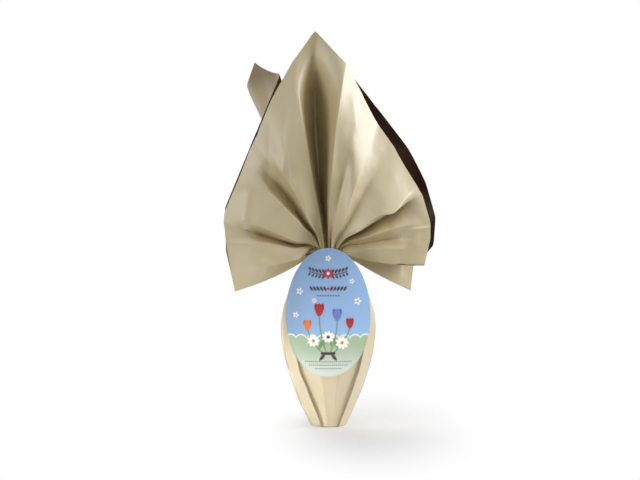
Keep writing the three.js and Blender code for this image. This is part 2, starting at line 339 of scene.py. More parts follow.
# Creases on the flare's front: name, start and end as x and z, width, height, the side that falls off
# steeply, and the part they lie on. The side is 1 for the left seen along the crease, and 0 for neither.
CREASES = (
    ("left grey panel's left edge", (-81, 249), (-84, 211), 9, 1.8, 0, LEFT_HALF),
    ("left grey panel's top edge", (-96, 242), (-61, 252), 7, 1.3, 0, LEFT_HALF),
    ("left pale panel's right edge", (-59, 315), (-61, 256), 7, -1.2, 0, LEFT_HALF),
    ("left broad panel's soft ridge", (-37, 344), (-45, 264), 12, 1.5, 0, LEFT_HALF),
    ("left flap's top line", (-102, 191), (-61, 191), 5, 1.2, 0, LEFT_HALF),
    ("left flap's small fold", (-67, 178), (-66, 168), 3, -0.8, 0, LEFT_HALF),
    ("left flap's short line", (-67, 176), (-41, 176), 4, -0.8, 0, LEFT_HALF),
    ("fold under the card's left shoulder", (-30, 170), (-14, 184), 3.5, -4, 0, LEFT_HALF),
    ("right panel's lap", (65, 203), (106, 209), 7, 1.8, 1, RIGHT_HALF),
    ("right panel's small fold", (49, 181), (50, 169), 3, -0.9, 0, RIGHT_HALF),
    ("tip's right line", (4, 387), (11, 358), 5, -0.9, 0, TIP_RIGHT),
    ("tip's left line", (-26, 377), (-29, 344), 6, 0.8, 0, TIP_LEFT),
    ("tan panel's ridge", (71, 269), (57, 233), 9, 1.0, 0, RIGHT_HALF),
    ("bright panel's fold", (24, 344), (28, 307), 8, 0.9, 0, RIGHT_HALF),
)
CREASE_STEEP_WIDTH = 1.6
CREASE_END_LENGTH = 7
# How soon past the folds at the sides of its part a crease shows, in folds.
CREASE_MARGIN = 0.4
# Crumples: how many facets round the flare and along it, how deep, and the seed.
FACETS = (
    (34, 4, 1.5, 3),
    (92, 11, 0.7, 8),
)
# The shares of the flare's length between which the crumples grow to their full depth.
FACET_OPENING = (0.1, 0.6)
# Sharp folds that crumples and creases leave as they are, and how far to either side, in folds.
KNIFE_FOLDS = (
    "right corner, bottom edge",
    "left corner, bottom edge",
    "centre groove, right lip",
    "centre groove, left lip",
)
KNIFE_FOLD_REACH = 0.7
SHARPEST_BEND = 30
# What the paper's colour is multiplied by at the curl: painted shade with a painted brown reflection of the
# lining at its top, and a painted highlight along its pale lower edge.
CURL_PAINTED_SHADE = (0.52, 0.42, 0.34)
CURL_PAINTED_HIGHLIGHT = (1.6, 1.8, 2.6)
# Between which places each begins and is in full: the curl itself to the left, to the back and upwards, the
# painted brown shade upwards and in from the left edge, and the painted highlight down a slope of 2 in 1.
CURL_LEFTWARD = (50, 56)
CURL_BACKWARD = (6, 12)
CURL_UPWARD = (300, 318)
PAINTED_SHADE_UPWARD = (332, 368)
PAINTED_SHADE_RIGHTWARD = (-92, -84)
PAINTED_HIGHLIGHT_DOWNWARD = (-200, -165)
PAINTED_HIGHLIGHT_SLOPE = 2


def fold_lines(t):
    """The folds at the shares t of their length: points[row, fold]."""
    count = len(FOLDS)
    middle = np.array([fold[1] for fold in FOLDS], float)
    end = np.array([fold[2] for fold in FOLDS], float)
    tuck = np.array([TUCKED_FOLDS.get(name, 0) for name in FOLD_NAMES])
    start = around(FIRST_FOLD_AZIMUTH - 360 * np.arange(count) / count, GATHER_RADIUS - tuck, 0)
    t = t[:, None, None]
    lines = mix(start, end, t) + 4 * t * (1 - t) * (middle - (start + end) / 2)
    rise = np.minimum(t[:, :, 0] / GATHER_LIFT_SHARE, 1)
    lift = GATHER_LIFT * smoothstep(end[:, 2], *LIFTED_FOLD_ENDS)
    lines[:, :, 2] += GATHER_HEIGHT + lift * ONE_AT_ITS_PEAK * rise * (1 - rise) ** 2
    for name, (place, width, swerve) in SWERVES.items():
        here = np.exp(-((t[:, 0] - place) / width) ** 2)
        lines[:, FOLD_NAMES.index(name)] += here * np.array(swerve)
    for name, reach in FADING_FOLDS.items():
        lines = faded(lines, name, smoothstep(t[:, 0, 0], reach - FADE_LENGTH, reach))
    return lines


def faded(lines, name, share):
    """Brings a fold to the flat panel between the nearest folds that don't fade, as share goes to 1."""
    index = before = after = FOLD_NAMES.index(name)
    while FOLD_NAMES[before] in FADING_FOLDS:
        before -= 1
    while FOLD_NAMES[after % len(FOLDS)] in FADING_FOLDS:
        after += 1
    place = (index - before) / (after - before)
    level = mix(lines[:, before, 1], lines[:, after % len(FOLDS), 1], place)
    lines[:, index, 1] = mix(lines[:, index, 1], level, share)
    return lines


def crease_widths(t):
    """How far each fold's crease rounds, as a share of a panel: widths[row, fold]."""
    softness = np.array([fold[3] for fold in FOLDS])
    return mix(CREASE_HALF_WIDTH_AT_GATHER, softness, smoothstep(t, *CREASE_OPENING)[:, None])


def square_to(vector, direction):
    """The part of a vector that is square to a direction."""
    square = np.sum(direction * direction, axis=-1, keepdims=True)
    share = np.sum(vector * direction, axis=-1, keepdims=True) / np.maximum(square, 1e-9)
    return vector - direction * share


def rounded_panels(lines, widths):
    """Straight panels between the folds, rounded at each fold over its width on either side."""
    columns = []
    runs = np.gradient(lines, axis=0)
    for index in range(len(FOLDS)):
        following = (index + 1) % len(FOLDS)
        before, here = lines[:, index - 1], lines[:, index]
        after, beyond = lines[:, following], lines[:, (index + 2) % len(FOLDS)]
        near, far = widths[:, index, None], widths[:, following, None]
        near_turn = square_to(after + before - 2 * here, runs[:, index])
        far_turn = square_to(here + beyond - 2 * after, runs[:, following])
        for share in COLUMN_SHARES:
            near_bend = near * np.clip(1 - share / near, 0, 1) ** 2 / 4
            far_bend = far * np.clip(1 - (1 - share) / far, 0, 1) ** 2 / 4
            columns.append(mix(here, after, share) + near_turn * near_bend + far_turn * far_bend)
    columns.append(columns[0])
    return np.stack(columns, axis=1)


def crease_relief(points, fold):
    """Heights that the creases add at each point of the flare's front."""
    x, z = points[..., 0], points[..., 2]
    relief = np.zeros(x.shape)
    for _, start, end, width, height, side, (first, last) in CREASES:
        run = np.array(end, float) - start
        length = np.hypot(*run)
        along = ((x - start[0]) * run[0] + (z - start[1]) * run[1]) / length
        off = ((x - start[0]) * run[1] - (z - start[1]) * run[0]) / length
        if side:
            off = np.where(off * side < 0, off * width / CREASE_STEEP_WIDTH, off)
        start_fade = smoothstep(along, -CREASE_END_LENGTH, CREASE_END_LENGTH)
        end_fade = smoothstep(length - along, -CREASE_END_LENGTH, CREASE_END_LENGTH)
        here = smoothstep(fold, first, first + CREASE_MARGIN) * smoothstep(-fold, -last, CREASE_MARGIN - last)
        relief += height * np.exp(-np.abs(off) / width * 2) * start_fade * end_fade * here[None]
    return relief


def flare_points():
    t = np.linspace(0, 1, FLARE_ROWS + 1) ** FLARE_ROW_SPACING
    points = rounded_panels(fold_lines(t), crease_widths(t))
    # Each column's place round the flare, counted in folds.
    fold = (np.arange(len(FOLDS))[:, None] + COLUMN_SHARES[None]).ravel()
    fold = np.append(fold, len(FOLDS))
    flutes = np.cos(2 * np.pi * FLUTES_PER_FOLD * fold)[None] * np.exp(-t / FLUTE_FADE)[:, None]
    relief = FLUTE_DEPTH * flutes
    crumpled = smoothstep(t, *FACET_OPENING)[:, None]
    for columns, rows, depth, seed in FACETS:
        facets = facet_noise(fold[None] / len(FOLDS), t[:, None], columns, rows, seed)
        relief = relief + depth * crumpled * facets
    relief = relief + crease_relief(points, fold)
    for name, dip in RIM_DIPS.items():
        between = np.clip(fold - FOLD_NAMES.index(name), 0, 1)
        points[..., 2] -= dip * np.sin(np.pi * between)[None] * t[:, None] ** RIM_DIP_POWER
    for name in KNIFE_FOLDS:
        away = np.abs(fold - FOLD_NAMES.index(name))
        relief = relief * smoothstep(np.minimum(away, len(FOLDS) - away), 0, KNIFE_FOLD_REACH)
    relief[:, -1] = relief[:, 0]
    return points + normals_of(points) * relief[..., None]


def gather_points(flare):
    """Rows from the middle of the tie's groove up to the flare's first row."""
    azimuth = np.degrees(np.arctan2(flare[0, :, 0], -flare[0, :, 1]))
    radius = np.hypot(flare[0, :, 0], flare[0, :, 1])
    rows = []
    for share in (0, 0.5):
        reach = mix(TIE_GROOVE_RADIUS - FLARE_FOOT_INSET, radius, share ** 2)
        rows.append(around(azimuth, reach, mix(TIE_HEIGHT, GATHER_HEIGHT, share)))
    return np.stack(rows)


def curl_painted_light(points):
    """Painted shade and highlight at the curl, as what the colour is multiplied by: 1 in all three is plain
    paper.
    """
    x, y, z = points.T
    curl = smoothstep(-x, *CURL_LEFTWARD) * smoothstep(y, *CURL_BACKWARD) * smoothstep(z, *CURL_UPWARD)
    # Painted shade at the curl's top, brown like a reflection of the lining, and a painted highlight on its
    # lower edge.
    brown = curl * smoothstep(z, *PAINTED_SHADE_UPWARD) * smoothstep(x, *PAINTED_SHADE_RIGHTWARD)
    pale = curl * smoothstep(-z - PAINTED_HIGHLIGHT_SLOPE * x, *PAINTED_HIGHLIGHT_DOWNWARD)
    tone = mix(np.ones(3), np.array(CURL_PAINTED_SHADE), brown[:, None])
    return mix(tone, np.array(CURL_PAINTED_HIGHLIGHT), pale[:, None])


def add_painted_light(piece, tone):
    """Stores what the paper's colour is multiplied by at each point: painted shade and painted highlights."""
    colours = np.ones((len(piece.data.vertices), 4))
    colours[:, :3] = tone
    attribute = piece.data.color_attributes.new("tone", "FLOAT_COLOR", "POINT")
    attribute.data.foreach_set("color", colours.ravel())


def build_flare(materials):
    flare = flare_points()
    sheet = lay_grid("paper_flare", np.concatenate([gather_points(flare), flare]), flip=True)
    places = np.empty(len(sheet.data.vertices) * 3)
    sheet.data.vertices.foreach_get("co", places)
    # The curl's painted shade and painted highlight, stored on the sheet as what its colour is multiplied by.
    add_painted_light(sheet, curl_painted_light(places.reshape(-1, 3) / MM))
    add_materials(sheet, materials)
    apply_modifier(sheet, "SOLIDIFY", thickness=PAPER_THICKNESS * MM, offset=-1, use_rim=True,
                   material_offset=1, material_offset_rim=0)
    only(sheet)
    bpy.ops.object.shade_smooth_by_angle(angle=math.radians(SHARPEST_BEND))
    return sheet


# Paper round the egg

BODY_ROWS = 84
PANEL_COLUMNS = 28
# The shoulder's flutes on each panel, and how far above the belly's widest place they begin.
SHOULDER_FLUTES = 4
SHOULDER_FLUTE_DEPTH = 0.9
SHOULDER_FLUTE_START = 15
# A panel's free edges stand off the egg round this height, and the power keeps that close to the edge.
EDGE_LIFT = 0.9
EDGE_LIFT_HEIGHT = 34
EDGE_LIFT_SPREAD = 22
EDGE_LIFT_POWER = 6
BODY_WAVE_DEPTH = 0.5
BODY_WAVE_SIZE = 30
BODY_WAVE_SEED = 5
# Painted highlight: the body's paper, the same as the flare's, is multiplied by this to look whiter and
# cooler.
BODY_PAINTED_HIGHLIGHT = (0.96, 0.98, 1.08)
# The handles of the outline's curves. The foot's leans out and rises, and the belly's lower one stops short,
# as shares of the belly's height. The belly's upper one rises in millimetres. The neck's is a share of the
# belly's radius, and millimetres below the shoulder's top.
FOOT_HANDLE = (0.14, 0.33)
BELLY_LOWER_HANDLE = 0.67
BELLY_UPPER_HANDLE = 26
NECK_HANDLE = (0.72, 15)
# The shares of the flat base's radius at which its rows lie, and the middle of its rounded edge.
FOOT_ROWS = (0.0, 0.3, 0.6, 0.85, 1.0)
FOOT_FLAT_RADIUS = BASE_RADIUS - 1.2 * BASE_ROUNDING
FOOT_EDGE_RADIUS = BASE_RADIUS - 0.35 * BASE_ROUNDING
FOOT_EDGE_HEIGHT = 0.3 * BASE_ROUNDING
# The share of the shoulder's flutes that is pressed flat at the tie.
FLUTES_PRESSED_FLAT = 0.6


def bezier(corners, count):
    """Points along a cubic curve with two ends and two handles."""
    t = np.linspace(0, 1, count + 1)[:, None]
    a, b, c, d = np.array(corners, float)
    return (1 - t) ** 3 * a + 3 * t * (1 - t) ** 2 * b + 3 * t * t * (1 - t) * c + t ** 3 * d


def egg_outline():
    """Radius and height of the wrapped egg, from the foot to the top of its shoulder."""
    lower = bezier((
        (BASE_RADIUS, BASE_ROUNDING),
        (BASE_RADIUS + BELLY_HEIGHT * FOOT_HANDLE[0], BELLY_HEIGHT * FOOT_HANDLE[1]),
        (BELLY_RADIUS, BELLY_HEIGHT * BELLY_LOWER_HANDLE),
        (BELLY_RADIUS, BELLY_HEIGHT),
    ), BODY_ROWS * 3 // 5)
    upper = bezier((
        (BELLY_RADIUS, BELLY_HEIGHT),
        (BELLY_RADIUS, BELLY_HEIGHT + BELLY_UPPER_HANDLE),
        (BELLY_RADIUS * NECK_HANDLE[0], SHOULDER_TOP - NECK_HANDLE[1]),
        (GATHER_RADIUS, SHOULDER_TOP),
    ), BODY_ROWS * 2 // 5)
    return np.concatenate([lower, upper[1:]])


def pleat_azimuth(index, height):
    """A pleat's azimuth at each height: from the base to PLEAT_HEIGHT, then on to its place at the neck."""
    turns, place = divmod(index, len(PLEATS))
    base, belly = PLEATS[place][:2]
    neck = FIRST_FOLD_AZIMUTH - 360 * place / len(PLEATS)
    low = mix(base, belly, height / PLEAT_HEIGHT)
    high = mix(belly, neck, (height - PLEAT_HEIGHT) / (GATHER_HEIGHT - PLEAT_HEIGHT))
    return np.where(height < PLEAT_HEIGHT, low, high) - 360 * turns


def panel_columns(index, radius, height, gathered):
    """One panel from its right edge to its left, with its lower edge tucked under the panel next to it."""
    right, left = PLEATS[index][2:]
    last_left = PLEATS[index - 1][3]
    next_right = PLEATS[(index + 1) % len(PLEATS)][2]
    tuck = np.degrees(PLEAT_TUCK / np.maximum(radius, 1)) * (1 - gathered)
    start = pleat_azimuth(index, height) + (tuck if last_left > right + LEAST_LAP else 0)
    end = pleat_azimuth(index + 1, height) - (tuck if next_right > left + LEAST_LAP else 0)
    strength = smoothstep(height, -BELLY_HEIGHT / 4, BELLY_HEIGHT / 4) * (1 - gathered)
    lift = EDGE_LIFT * np.exp(-((height - EDGE_LIFT_HEIGHT) / EDGE_LIFT_SPREAD) ** 2)
    columns = []
    for share in np.linspace(0, 1, PANEL_COLUMNS):
        relief = mix(right, left, share) - PANEL_FLATTENING * 4 * share * (1 - share)
        if right > last_left + LEAST_LAP:
            relief = relief + lift * (1 - share) ** EDGE_LIFT_POWER
        if left > next_right + LEAST_LAP:
            relief = relief + lift * share ** EDGE_LIFT_POWER
        flute = np.cos(2 * np.pi * SHOULDER_FLUTES * share) * SHOULDER_FLUTE_DEPTH
        flutes = flute * smoothstep(height, BELLY_HEIGHT + SHOULDER_FLUTE_START, SHOULDER_TOP)
        columns.append(around(mix(start, end, share), radius + relief * strength + flutes, height))
    return columns


def body_points():
    outline = egg_outline()
    radius, height = outline[:, 0], outline[:, 1]
    gathered = smoothstep(height, BELLY_HEIGHT, SHOULDER_TOP)
    columns = []
    for index in range(len(PLEATS)):
        columns += panel_columns(index, radius, height, gathered)
    columns.append(columns[0])
    points = np.stack(columns, axis=1)
    waves = gentle_noise(points, BODY_WAVE_SIZE, BODY_WAVE_SEED)
    relief = BODY_WAVE_DEPTH * waves * smoothstep(height, 0, BODY_WAVE_SIZE)[:, None]
    relief[:, -1] = relief[:, 0]
    points[..., :2] *= 1 + (relief / np.hypot(points[..., 0], points[..., 1]))[..., None]
    return points


def foot_rows(body):
    """From the centre of the flat base out to its rounded edge."""
    rows = []
    places = [(share * FOOT_FLAT_RADIUS, 0) for share in FOOT_ROWS] + [(FOOT_EDGE_RADIUS, FOOT_EDGE_HEIGHT)]
    for radius, height in places:
        row = body[0].copy()
        row[:, :2] *= radius / BASE_RADIUS
        row[:, 2] = height
        rows.append(row)
    return np.stack(rows)


def neck_rows(body):
    """Up the tie's groove and closed over inside it."""
    rows = []
    azimuth = np.degrees(np.arctan2(body[-1, :, 0], -body[-1, :, 1]))
    radius = np.hypot(body[-1, :, 0], body[-1, :, 1])
    flute = radius - radius.mean()
    for share in (0.5, 1.0):
        reach = mix(GATHER_RADIUS, TIE_GROOVE_RADIUS, share) + flute * (1 - FLUTES_PRESSED_FLAT * share)
        rows.append(around(azimuth, reach, mix(SHOULDER_TOP, TIE_HEIGHT, share)))
    for share in (0.6, 0.0):
        rows.append(around(azimuth, TIE_GROOVE_RADIUS * share, TIE_HEIGHT + 1))
    return np.stack(rows)


def build_body(materials):
    body = body_points()
    skin = lay_grid("paper_body", np.concatenate([foot_rows(body), body, neck_rows(body)]), flip=True)
    # The body's painted highlight, stored as what its colour is multiplied by.
    add_painted_light(skin, np.array(BODY_PAINTED_HIGHLIGHT))
    add_materials(skin, materials)
    return skin


# Card

CARD_COLUMNS = 150
CARD_ROWS = 225


def card_place(across, up):
    """Bends the flat card: across and up are millimetres from its centre."""
    bend = across / CARD_BEND_RADIUS
    lean = np.where(up > 0, CARD_LEAN_BACK, CARD_TUCK_UNDER) * (up / CARD_HALF_HEIGHT) ** 2
    x = CARD_BEND_RADIUS * np.sin(bend)
    y = CARD_FRONT + CARD_BEND_RADIUS * (1 - np.cos(bend)) + lean
    return np.stack([x, y, CARD_CENTRE_HEIGHT + up], axis=-1)


def card_flat():
    """The oval's grid of points, flat: a square grid drawn in to a round one, then to the oval."""
    u, v = np.meshgrid(np.linspace(-1, 1, CARD_COLUMNS + 1), np.linspace(-1, 1, CARD_ROWS + 1))
    across = u * np.sqrt(1 - v * v / 2)
    up = v * np.sqrt(1 - u * u / 2)
    return across * CARD_HALF_WIDTH * (1 - CARD_EGG_SHAPE * up), up * CARD_HALF_HEIGHT


def build_card(materials):
    across, up = card_flat()
    card = lay_grid("printed_card", card_place(across, up), seam=False)
    add_materials(card, materials)
    paint_card(card, across.ravel(), up.ravel())
    apply_modifier(card, "SOLIDIFY", thickness=CARD_THICKNESS * MM, offset=1, use_rim=True, material_offset=1,
                   material_offset_rim=1)
    return card


# Printed picture: made up for this part, a spring posy under a sprig
# Places are millimetres across and up from the card's centre.

SKY_TOP = "#88aad2"
SKY_LOW = "#9abbdf"
# The colour of the sky's painted shade.
SKY_PAINTED_SHADE = "#667f9e"
MEADOW_TOP = "#a1b494"
MEADOW_LOW = "#c6cec5"
BARK = "#3b2a2c"
RED = "#b02a2e"
DARK_RED = "#8c1f26"
ORANGE = "#dd7f35"
DARK_ORANGE = "#c4602a"
LILAC = "#6f7cc4"
DARK_LILAC = "#4f5aa4"
WHITE = "#f4f1ec"
LEAF_GREEN = "#6e8f5c"
PRINT_BLUR = 0.45

# Painted shade on the sky at the left and, as under the flare, at the top: where it begins, and how strong it
# is.
PAINTED_SHADE_LEFT = (14, 0.55)
PAINTED_SHADE_TOP = (35, 0.4)
MEADOW_HEIGHT = -27
MEADOW_FADE = (-30, -62)
SCALLOP_RADIUS = 5.5
SCALLOP_HEIGHT_SHARE = 0.8
SCALLOP_BORDER = 1.2
SPRIG_WIDTH = 38
SPRIG_HEIGHT = 42
SPRIG_SAG = 3.5
SPRIG_LEAVES = 5
SPRIG_FLOWER = (0, 40)
LEAF_ROW_HEIGHT = 25
DOT_ROW_HEIGHT = 18
STEM_WIDTH = 1.3
# Tulips: foot, head, petals' colour and shade, how far the stem bends, and size.
TULIPS = (
    ((-3, -42), (-21, -16), ORANGE, DARK_ORANGE, 3, 0.95),
    ((3, -42), (22, -14), RED, DARK_RED, -3, 0.95),
    ((-1, -42), (-9, -1), RED, DARK_RED, 2, 1.15),
    ((1, -42), (9, -6), LILAC, DARK_LILAC, -2, 1.1),
)
# Daisies: centre, radius and heart.
DAISIES = (
    ((-15, -28), 6, ORANGE),
    ((14, -30), 6.5, ORANGE),
    ((0, -24), 6, BARK),
)
SKY_FLOWERS = (
    ((-29, 22), 3.4),
    ((30, 12), 3.8),
    ((-33, -2), 3),
    ((24, 32), 2.6),
    ((-14, 13), 2.4),
    ((0, 55), 3),
)
# The lowest rows of dots: how many to either side of the middle one.
DOTTED_LINES = (11, 9, 6)
DOTTED_LINE_HEIGHT = -49.5
DOTTED_LINE_SPACING = 3.6


class Print:
    """Colours laid over each other on the card's points, each shape with a soft edge."""

    def __init__(self, across, up):
        self.across, self.up = across, up
        self.colours = np.ones((len(across), 4))

    def tint(self, colour, share):
        self.colours = mix(self.colours, np.array(linear(colour)), share[:, None])

    def cover(self, distance, colour):
        """Lays a colour wherever the distance to a shape's edge is negative."""
        self.tint(colour, np.clip(0.5 - distance / (2 * PRINT_BLUR), 0, 1))

    def turned(self, centre, degrees):
        """Every point as seen from a centre, along and square to a direction."""
        x, y = self.across - centre[0], self.up - centre[1]
        a = math.radians(degrees)
        return x * math.cos(a) + y * math.sin(a), y * math.cos(a) - x * math.sin(a)

    def disc(self, centre, radius, colour):
        self.cover(np.hypot(self.across - centre[0], self.up - centre[1]) - radius, colour)

    def leaf(self, centre, length, width, degrees, colour):
        """A pointed leaf or petal: where two equal circles cross."""
        x, y = self.turned(centre, degrees)
        radius = (length ** 2 + width ** 2) / (4 * width)
        offset = radius - width / 2
        self.cover(np.hypot(x, np.abs(y) + offset) - radius, colour)

    def stroke(self, start, end, width, colour, sag=0.0):
        """A line that bends sideways by sag at its middle."""
        start, end = np.array(start, float), np.array(end, float)
        run = end - start
        length = np.hypot(*run)
        share = ((self.across - start[0]) * run[0] + (self.up - start[1]) * run[1]) / length ** 2
        share = np.clip(share, 0, 1)
        side = np.array((-run[1], run[0])) / length
        bend = 4 * share * (1 - share) * sag
        x = start[0] + share * run[0] + side[0] * bend
        y = start[1] + share * run[1] + side[1] * bend
        self.cover(np.hypot(self.across - x, self.up - y) - width / 2, colour)


def paint_fields(picture):
    """A blue sky with painted shade at the left and top, over a green field with a scalloped white border."""
    height = np.clip((picture.up + CARD_HALF_HEIGHT) / (2 * CARD_HALF_HEIGHT), 0, 1)
    picture.tint(SKY_LOW, np.ones(len(height)))
    picture.tint(SKY_TOP, height)
    # Painted shade: the sky is darker towards the left edge and the top.
    left = smoothstep(-picture.across, PAINTED_SHADE_LEFT[0], CARD_HALF_WIDTH)
    top = smoothstep(picture.up, PAINTED_SHADE_TOP[0], CARD_HALF_HEIGHT)
    picture.tint(SKY_PAINTED_SHADE, PAINTED_SHADE_LEFT[1] * left + PAINTED_SHADE_TOP[1] * top * (1 - left))
    off_middle = np.abs(np.mod(picture.across, 2 * SCALLOP_RADIUS) - SCALLOP_RADIUS)
    scallop = np.sqrt(np.maximum(SCALLOP_RADIUS ** 2 - off_middle ** 2, 0)) * SCALLOP_HEIGHT_SHARE
    edge = picture.up - MEADOW_HEIGHT - scallop
    picture.cover(edge - SCALLOP_BORDER, WHITE)
    picture.cover(edge, MEADOW_TOP)
    picture.tint(MEADOW_LOW, smoothstep(picture.up, *MEADOW_FADE) * (edge < 0))


def paint_tulip(picture, foot, head, colour, shade, lean, size):
    """A stem with one leaf, and three petals: two darker ones lean out behind the middle one."""
    picture.stroke(foot, head, STEM_WIDTH, LEAF_GREEN, sag=lean)
    side = math.copysign(1, lean)
    leaf_place = (mix(foot[0], head[0], 0.4) + side * 3.4, mix(foot[1], head[1], 0.42))
    picture.leaf(leaf_place, 15 * size, 3.6, 90 - side * 24, LEAF_GREEN)
    x, y = head
    for turn in (-24, 24):
        outer_place = (x - math.sin(math.radians(turn)) * 2.6 * size, y + 4.4 * size)
        picture.leaf(outer_place, 12 * size, 5.6 * size, 90 + turn, shade)
    picture.leaf((x, y + 4 * size), 12 * size, 7 * size, 90, colour)


def paint_daisy(picture, centre, radius, petals, colour, heart):
    for petal in range(petals):
        turn = 360 * petal / petals
        a = math.radians(turn)
        place = (centre[0] + math.cos(a) * radius * 0.6, centre[1] + math.sin(a) * radius * 0.6)
        picture.leaf(place, radius * 0.95, radius * 0.5, turn, colour)
    picture.disc(centre, radius * 0.28, heart)


def paint_sprig(picture):
    """A sagging twig with pairs of leaves that get smaller outwards, and a flower in the middle."""
    reach = SPRIG_WIDTH / 2
    picture.stroke((-reach, SPRIG_HEIGHT), (reach, SPRIG_HEIGHT), 1.1, BARK, sag=-SPRIG_SAG)
    for step in range(1, SPRIG_LEAVES + 1):
        x = step * 3.5
        y = SPRIG_HEIGHT - SPRIG_SAG * (1 - (x / reach) ** 2)
        size = 6.6 - 0.45 * step
        for side in (-1, 1):
            picture.leaf((side * (x + 1), y + 3.2), size, 2.5, 90 - side * 32, BARK)
            picture.leaf((side * (x + 1.6), y - 2.2), size * 0.8, 2.1, 90 + side * 32, BARK)
    paint_daisy(picture, SPRIG_FLOWER, 5.2, 8, RED, WHITE)


def paint_rows(picture):
    """A row of slanted leaves about a red dot, and a row of dots."""
    for step in range(1, 6):
        for side in (-1, 1):
            picture.leaf((side * step * 3.4, LEAF_ROW_HEIGHT), 5.6, 2.5, 90 - side * 30, BARK)
    picture.disc((0, LEAF_ROW_HEIGHT), 1.5, RED)
    for step in range(-4, 5):
        picture.disc((step * 2.6, DOT_ROW_HEIGHT), 0.75, BARK)


def paint_posy(picture):
    """Tulips and daisies with their stems tied in a ribbon."""
    for foot, head, colour, shade, lean, size in TULIPS:
        paint_tulip(picture, foot, head, colour, shade, lean, size)
    for centre, radius, heart in DAISIES:
        paint_daisy(picture, centre, radius, 9, WHITE, heart)
    picture.stroke((-6, -41), (6, -41), 3, BARK)
    for side in (-1, 1):
        picture.leaf((side * 6, -45), 9, 3.4, 90 + side * 40, BARK)


def paint_card(card, across, up):
    picture = Print(across, up)
    paint_fields(picture)
    paint_sprig(picture)
    paint_rows(picture)
    paint_posy(picture)
    for place, radius in SKY_FLOWERS:
        paint_daisy(picture, place, radius, 5, WHITE, ORANGE)
    for row, reach in enumerate(DOTTED_LINES):
        height = DOTTED_LINE_HEIGHT - DOTTED_LINE_SPACING * row
        for step in range(-reach, reach + 1):
            picture.disc((step * 2.1, height), 0.55, BARK)
    colours = card.data.color_attributes.new("print", "FLOAT_COLOR", "POINT")
    colours.data.foreach_set("color", picture.colours.ravel())


# Tie


def tube_ring(radius, height, thickness):
    deselect_all()
    bpy.ops.mesh.primitive_torus_add(major_radius=radius * MM, minor_radius=thickness * MM, major_segments=96,
                                     minor_segments=18, location=(0, 0, height * MM))
    return active()


def build_tie(materials):
    """Two turns of cord, a knot behind them and two ends that hang from it, joined in one piece."""
    pieces = [tube_ring(TIE_RADIUS, TIE_HEIGHT + side * TIE_TURN_OFFSET, TIE_CORD_RADIUS) for side in (-1, 1)]
    knot_place = Vector((0, TIE_RADIUS + KNOT_BEHIND_TURNS, TIE_HEIGHT)) * MM
    deselect_all()
    bpy.ops.mesh.primitive_uv_sphere_add(segments=32, ring_count=20, radius=KNOT_RADIUS * MM,
                                         location=knot_place, scale=KNOT_STRETCH)
    pieces.append(active())
    for side in (-1, 1):
        deselect_all()
        bpy.ops.mesh.primitive_cylinder_add(vertices=16, radius=TIE_CORD_RADIUS * MM,
                                            depth=TIE_END_LENGTH * MM)
        end = active()
        end.rotation_euler = (math.radians(TIE_END_TILT), side * math.radians(-TIE_END_SPLAY), 0)
        downward = end.rotation_euler.to_matrix() @ Vector((0, 0, -1))
        end.location = knot_place + downward * TIE_END_LENGTH / 2 * MM
        pieces.append(end)
    deselect_all()
    for piece in pieces:
        piece.select_set(True)
    bpy.context.view_layer.objects.active = pieces[0]
    bpy.ops.object.join()
    tie = active()
    bpy.ops.object.transform_apply(location=True, rotation=True, scale=True)
    bpy.ops.object.shade_smooth()
    name_piece(tie, "elastic_tie")
    add_materials(tie, materials)
    return tie


# Materials

PEARL_IOR = 2.2
# How wide the features of each pattern are, in millimetres.
MICA_CLOUD = 45.5
PAPER_FIBRE = 0.385
PAPER_CRUMPLE = 16.7
LINING_CLOUD = 33.3
VARNISH_GRAIN = 0.555
BOARD_FIBRE = 1.11
BRAID_THREAD = 0.7
# How far apart a wave texture's diagonal bands are along an axis, in its own units.
WAVE_LENGTH = math.pi / 5


def pattern_scale(size):
    """The texture scale that makes features this many millimetres wide."""
    return 1 / (size * MM)


def set_surface(tree, settings, colour, relief):
    """Ends a material in one shader with this colour and relief."""
    shader = node(tree, "ShaderNodeBsdfPrincipled", settings,
                  {"Base Color": colour, "Normal": relief.outputs["Normal"]})
    node(tree, "ShaderNodeOutputMaterial", None, {"Surface": shader.outputs["BSDF"]})


def pearl_paper():
    """Pearl gift paper, cream ink under a varnish with mica flakes: the flakes' high index shines softly."""
    material, tree = new_material("pearl laminated gift paper")
    place = node(tree, "ShaderNodeTexCoord").outputs["Object"]
    cloud = node(tree, "ShaderNodeTexNoise", {"Scale": pattern_scale(MICA_CLOUD), "Detail": 3.0},
                 {"Vector": place})
    ink = node(tree, "ShaderNodeMix", {"A": linear("#c3b389"), "B": linear("#caba8f")},
               {"Factor": cloud.outputs["Fac"]}, data_type="RGBA")
    # The tone attribute multiplies the ink by painted light: shade and a highlight at the curl, a highlight
    # on the body.
    shade = node(tree, "ShaderNodeAttribute", attribute_name="tone")
    tone = node(tree, "ShaderNodeVectorMath", None, {0: ink.outputs["Result"], 1: shade.outputs["Color"]},
                operation="MULTIPLY")
    grain = node(tree, "ShaderNodeTexNoise", {"Scale": pattern_scale(PAPER_FIBRE), "Detail": 2.0},
                 {"Vector": place})
    crumple = node(tree, "ShaderNodeTexNoise",
                   {"Scale": pattern_scale(PAPER_CRUMPLE), "Detail": 4.0, "Roughness": 0.55},
                   {"Vector": place})
    fine = node(tree, "ShaderNodeBump", {"Strength": 0.06, "Distance": 0.2 * MM},
                {"Height": grain.outputs["Fac"]})
    bump = node(tree, "ShaderNodeBump", {"Strength": 0.25, "Distance": 1.2 * MM},
                {"Height": crumple.outputs["Fac"], "Normal": fine.outputs["Normal"]})
    set_surface(tree, {"Roughness": 0.52, "IOR": PEARL_IOR}, tone.outputs["Vector"], bump)
    return material


